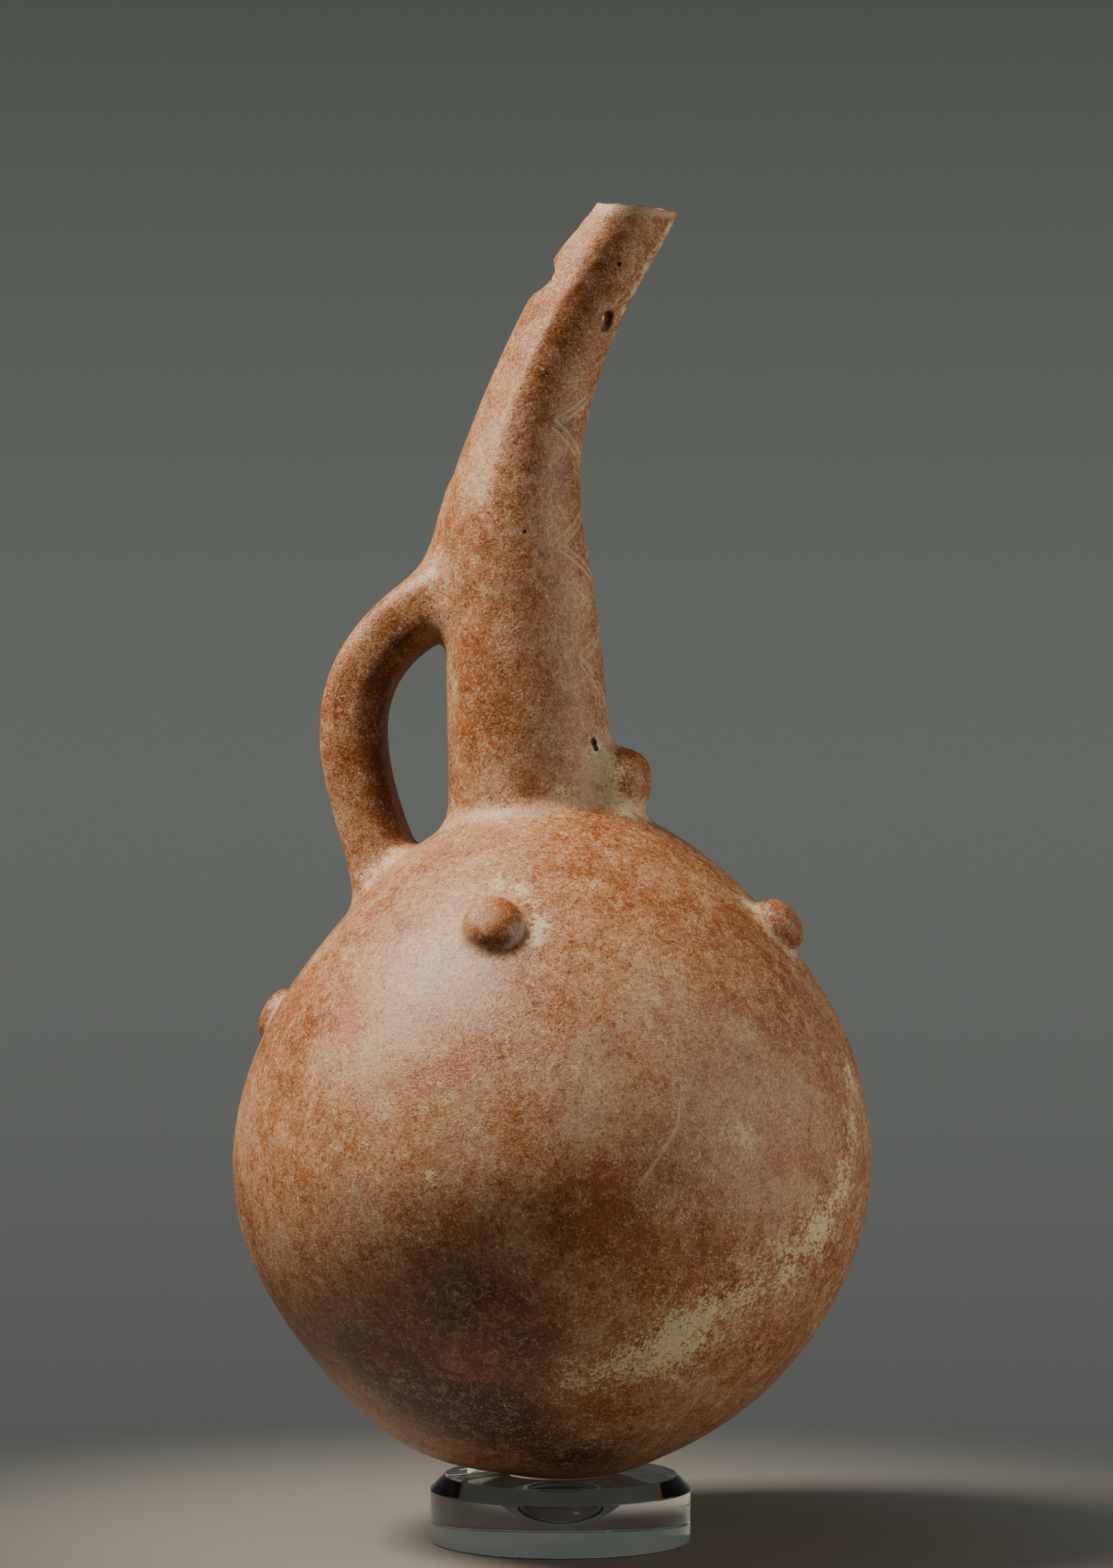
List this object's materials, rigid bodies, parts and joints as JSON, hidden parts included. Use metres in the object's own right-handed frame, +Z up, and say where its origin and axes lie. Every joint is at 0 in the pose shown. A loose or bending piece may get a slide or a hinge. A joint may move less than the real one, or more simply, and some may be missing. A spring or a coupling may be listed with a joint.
{
  "type": "red polished ware jug on a display disc",
  "caption": "Round-bottomed hand-built red clay jug with a tall leaning neck, cut-away broken spout, handle and pressed-on knobs, standing in a clear disc.",
  "frame": {"origin": "middle of the display disc's flat underside, on the surface it stands on", "axes": "+Z up, +X the way the spout leans, handle towards -X"},
  "size_m": [0.245, 0.245, 0.5096],
  "materials": {
    "fired_clay": "burnished red-brown slip, worn, with pale lime crust in the hollows",
    "clear_acrylic": "polished clear acrylic"
  },
  "bodies": {
    "root": {"jug": "fired_clay", "display_disc": "clear_acrylic"}
  },
  "joints": []
}
